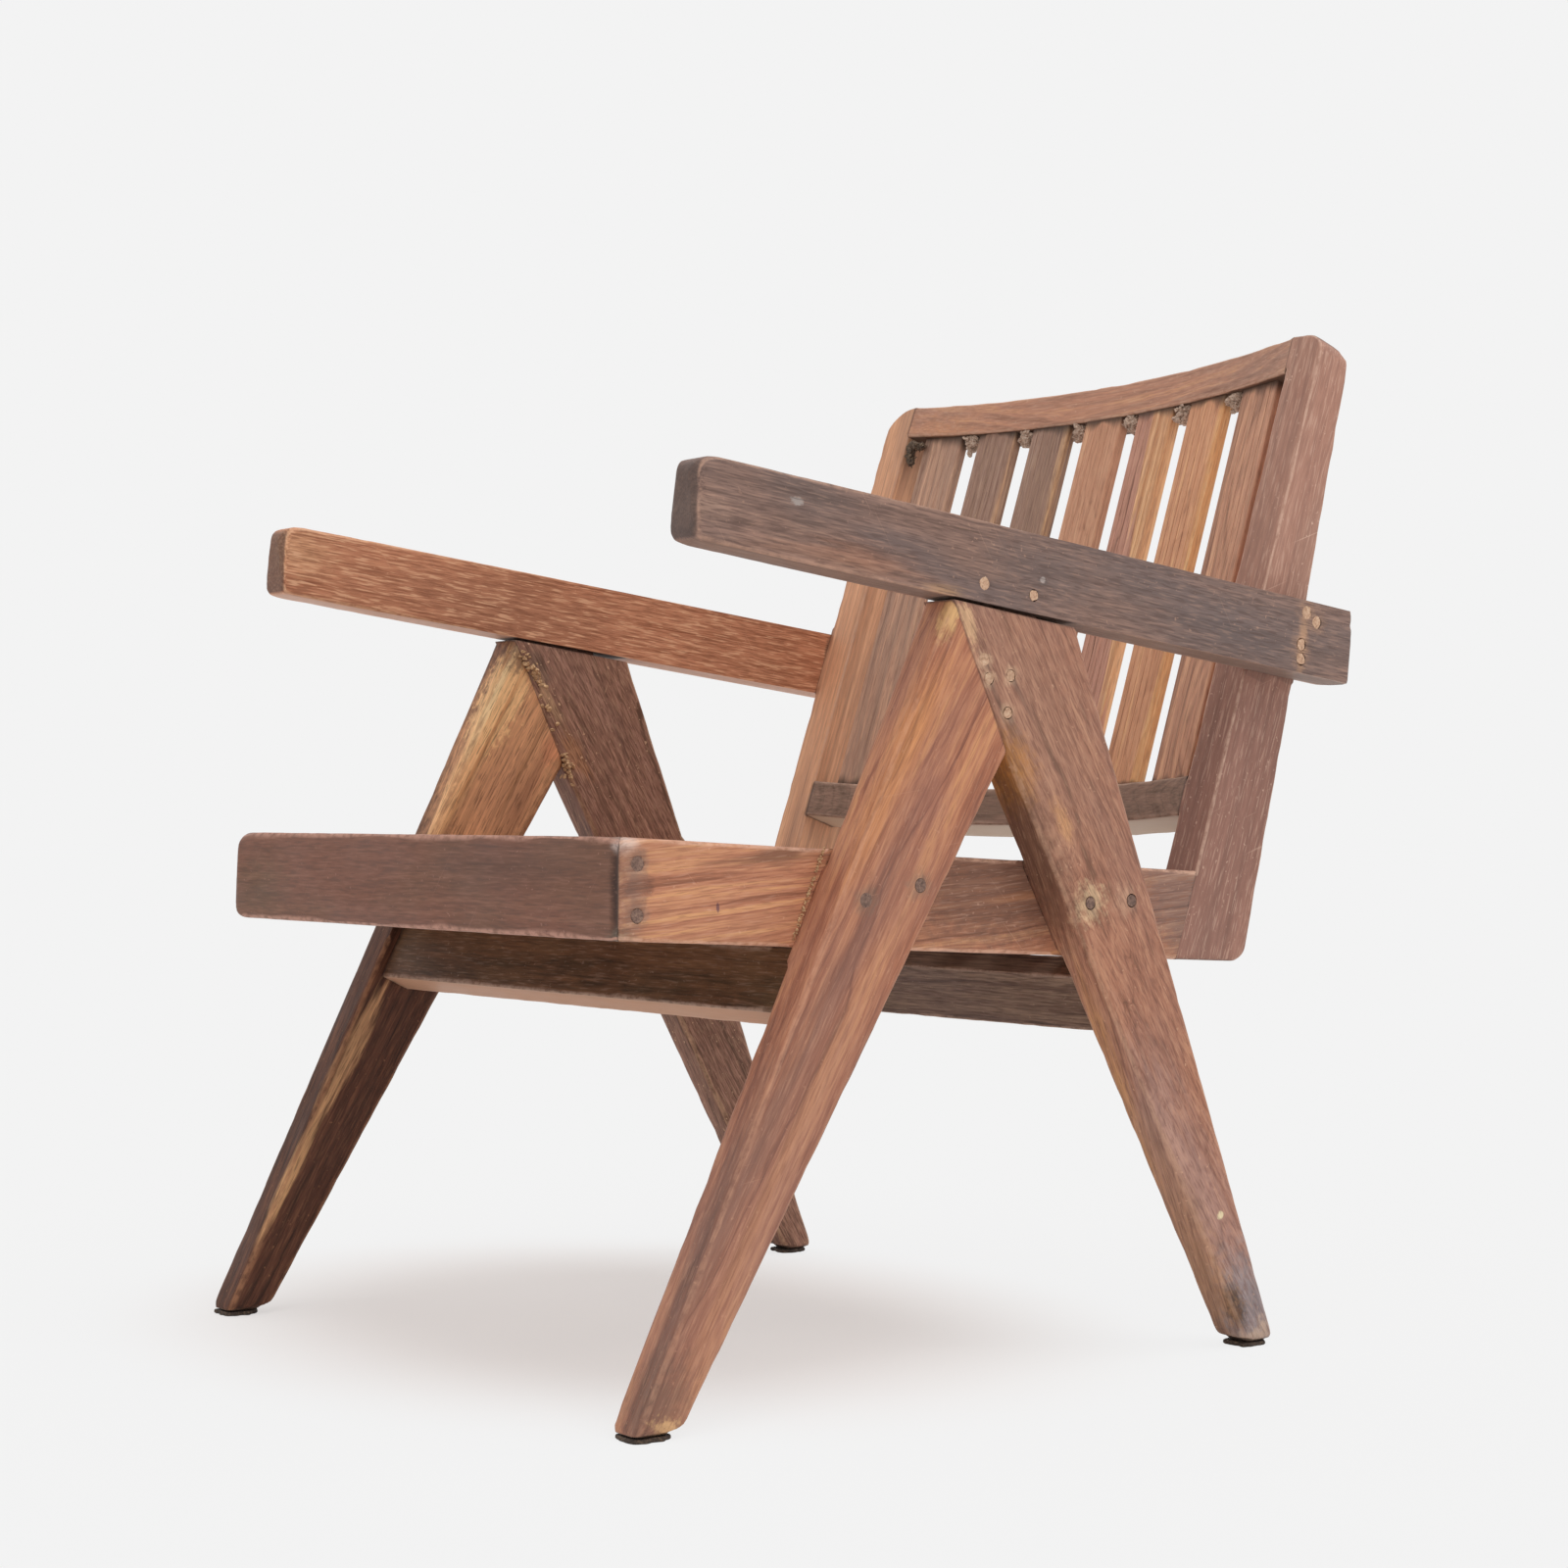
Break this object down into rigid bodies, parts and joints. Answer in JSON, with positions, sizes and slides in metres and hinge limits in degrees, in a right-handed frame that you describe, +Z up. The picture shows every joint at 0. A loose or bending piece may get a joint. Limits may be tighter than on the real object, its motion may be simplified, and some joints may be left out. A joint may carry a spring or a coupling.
{
  "type": "easy chair",
  "caption": "Low wooden easy chair with open side frames, crossing tapered legs under long sloping arms, a leaning slatted back with curved rails, and a slatted seat frame.",
  "frame": {"origin": "on the floor, under the middle of the chair's bounding box", "axes": "+Z up, -Y the way the sitter faces, +X the sitter's left"},
  "size_m": [0.56, 0.6888, 0.737],
  "materials": {
    "arm_wood": "oiled, worn, satin",
    "leg_wood": "oiled, worn, satin",
    "cross_rail_wood": "oiled, dull",
    "seat_rail_wood": "oiled, worn, satin",
    "seat_slat_wood": "oiled, dull",
    "stile_wood": "oiled, worn, satin",
    "back_rail_wood": "oiled, worn, satin",
    "back_slat_wood": "oiled, worn, satin",
    "plug_wood": "pale, dull",
    "foot_pad": "dark, dull",
    "screw_steel": "zinc plated, dull"
  },
  "bodies": {
    "root": {"left_arm": "arm_wood", "right_arm": "arm_wood", "left_front_leg": "leg_wood", "right_front_leg": "leg_wood", "left_rear_leg": "leg_wood", "right_rear_leg": "leg_wood", "left_front_foot_pad": "foot_pad", "right_front_foot_pad": "foot_pad", "left_rear_foot_pad": "foot_pad", "right_rear_foot_pad": "foot_pad", "front_cross_rail": "cross_rail_wood", "rear_cross_rail": "cross_rail_wood", "seat_front_rail": "seat_rail_wood", "seat_left_rail": "seat_rail_wood", "seat_right_rail": "seat_rail_wood", "seat_rear_rail": "seat_rail_wood", "left_stile": "stile_wood", "right_stile": "stile_wood", "back_top_rail": "back_rail_wood", "back_bottom_rail": "back_rail_wood", "left_arm_screws": "screw_steel", "right_arm_screws": "screw_steel", "left_leg_screws": "screw_steel", "right_leg_screws": "screw_steel", "left_corner_screws": "screw_steel", "right_corner_screws": "screw_steel", "left_arm_plugs": "plug_wood", "right_arm_plugs": "plug_wood", "left_leg_plugs": "plug_wood", "right_leg_plugs": "plug_wood", "left_corner_plugs": "plug_wood", "right_corner_plugs": "plug_wood", "left_joint_pins": "plug_wood", "right_joint_pins": "plug_wood", "seat_slat_1": "seat_slat_wood", "seat_slat_2": "seat_slat_wood", "seat_slat_3": "seat_slat_wood", "seat_slat_4": "seat_slat_wood", "seat_slat_5": "seat_slat_wood", "seat_slat_6": "seat_slat_wood", "seat_slat_7": "seat_slat_wood", "back_slat_1": "back_slat_wood", "back_slat_2": "back_slat_wood", "back_slat_3": "back_slat_wood", "back_slat_4": "back_slat_wood", "back_slat_5": "back_slat_wood", "back_slat_6": "back_slat_wood", "back_slat_7": "back_slat_wood"}
  },
  "joints": []
}
